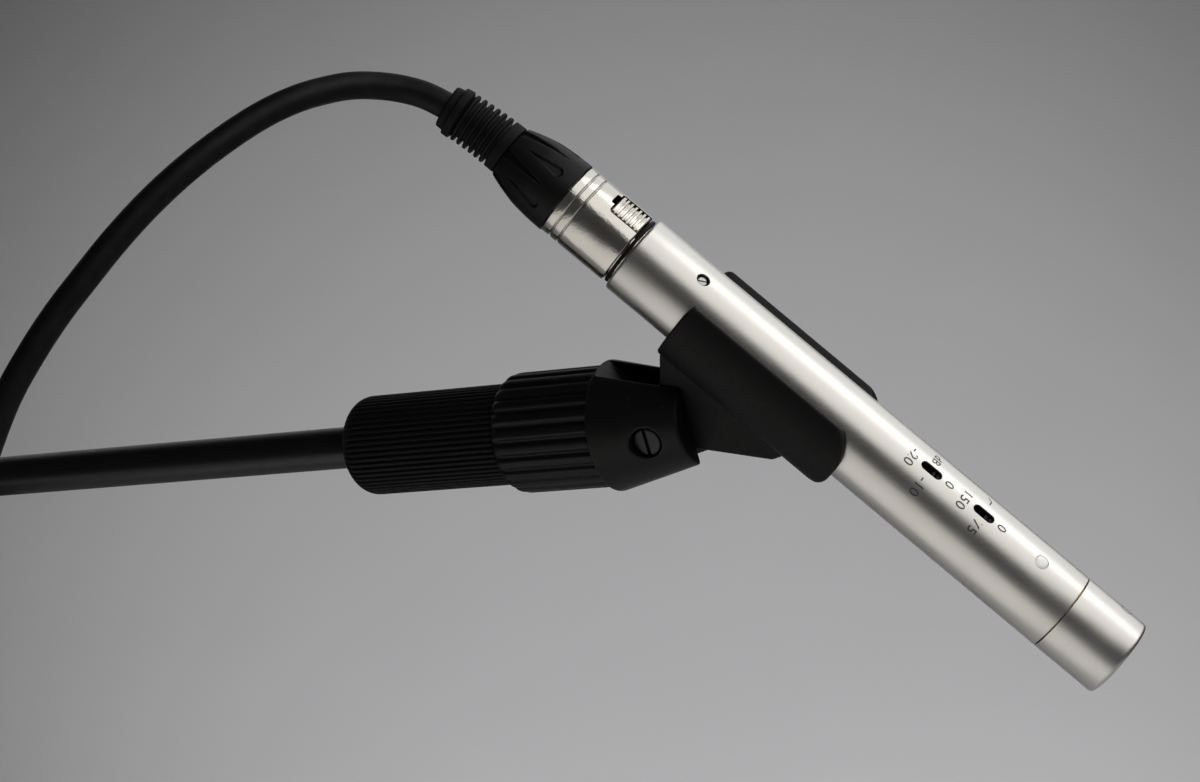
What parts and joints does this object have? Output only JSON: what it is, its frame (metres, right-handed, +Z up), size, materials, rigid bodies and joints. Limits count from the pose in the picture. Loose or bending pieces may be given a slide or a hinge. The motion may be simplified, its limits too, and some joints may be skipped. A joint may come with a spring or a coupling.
{
  "type": "pencil condenser microphone",
  "caption": "Small-diaphragm pencil microphone in a tilting stand clip on the end of a boom rod, with its plugged-in XLR lead coiled on the rod.",
  "frame": {"origin": "centre of the boom rod's far end face", "axes": "+X along the boom rod towards the microphone, +Z up, +Y to the left of someone looking along +X"},
  "size_m": [0.3869, 0.1644, 0.2158],
  "materials": {
    "satin_nickel": "bead-blasted satin nickel plate",
    "bright_nickel": "bright nickel plate with fine turning marks",
    "black_plastic": "moulded, finely spark-eroded satin black",
    "black_paint": "satin black powder coat",
    "black_rubber": "matt black elastomer",
    "cable_jacket": "soft matt black cable jacket",
    "hook_and_loop": "black woven hook-and-loop strap",
    "steel": "zinc plate",
    "brass": "turned",
    "gold": "gold plate",
    "board": "green solder mask",
    "enamel": "white enamel fill",
    "clear_plastic": "natural insulator plastic"
  },
  "bodies": {
    "boom": {"boom_rod": "black_paint", "rod_end_plug": "black_plastic", "stand_stud": "steel", "clip_base": "black_plastic", "base_thread_insert": "brass", "pivot_screw": "black_paint", "pivot_nut": "black_paint", "cord_free": "cable_jacket", "cord_coil": "cable_jacket", "coil_tie": "hook_and_loop", "cord_tail": "cable_jacket", "stage_boot_sleeve": "black_rubber", "stage_boot_nut": "black_plastic", "stage_cable_clamp": "black_plastic", "stage_shell": "bright_nickel", "stage_insert": "black_plastic", "stage_pin_1": "gold", "stage_pin_2": "gold", "stage_pin_3": "gold"},
    "sleeve": {"boom_sleeve": "black_rubber"},
    "clip": {"clip_body": "black_plastic", "mic_body": "satin_nickel", "marker_dot": "enamel", "insert_screw": "steel", "xlr_insert": "black_plastic", "xlr_pin_1": "gold", "xlr_pin_2": "gold", "xlr_pin_3": "gold", "circuit_board": "board", "pad_switch_body": "black_plastic", "filter_switch_body": "black_plastic", "output_transistor": "steel", "output_capacitor": "steel", "converter_coil": "black_plastic", "front_insulator": "clear_plastic", "contact_spring": "gold", "plug_shell": "bright_nickel", "plug_seal": "black_rubber", "latch_spring": "steel", "plug_insert": "black_plastic", "plug_socket_1": "gold", "plug_socket_2": "gold", "plug_socket_3": "gold", "cable_clamp": "black_plastic", "boot_nut": "black_plastic", "boot_sleeve": "black_rubber"},
    "pad_switch": {"pad_slider": "black_plastic"},
    "filter_switch": {"filter_slider": "black_plastic"},
    "capsule": {"capsule_shell": "satin_nickel", "capsule_collar": "brass", "capsule_grille": "satin_nickel", "diaphragm_ring": "brass", "diaphragm": "gold", "backplate": "brass", "backplate_insulator": "clear_plastic", "capsule_contact": "gold"},
    "latch": {"latch_lever": "bright_nickel"}
  },
  "joints": [
    {"name": "sleeve_turn", "type": "hinge", "parent": "boom", "child": "sleeve", "pos_m": [0.2182, 0, 0], "axis": [1, 0, 0], "continuous": true},
    {"name": "clip_tilt", "type": "hinge", "parent": "boom", "child": "clip", "pos_m": [0.282, 0, 0], "axis": [0, 0.9063, 0.4226], "range_deg": [-40, 40], "deforming": ["cord_free"]},
    {"name": "pad_slide", "type": "slide", "parent": "clip", "child": "pad_switch", "axis": [0.6428, 0.3237, -0.6943], "range_m": [-0.003, 0]},
    {"name": "filter_slide", "type": "slide", "parent": "clip", "child": "filter_switch", "axis": [0.6428, 0.3237, -0.6943], "range_m": [-0.003, 0]},
    {"name": "capsule_unscrew", "type": "slide", "parent": "clip", "child": "capsule", "axis": [0.6428, 0.3237, -0.6943], "range_m": [0, 0.012]},
    {"name": "latch_press", "type": "hinge", "parent": "clip", "child": "latch", "pos_m": [0.28532, -0.02392, 0.04975], "axis": [0.0668, 0.8792, 0.4718], "range_deg": [0, 3.5], "stiffness_Nm_per_rad": 0.1, "deforming": ["latch_spring"]}
  ]
}
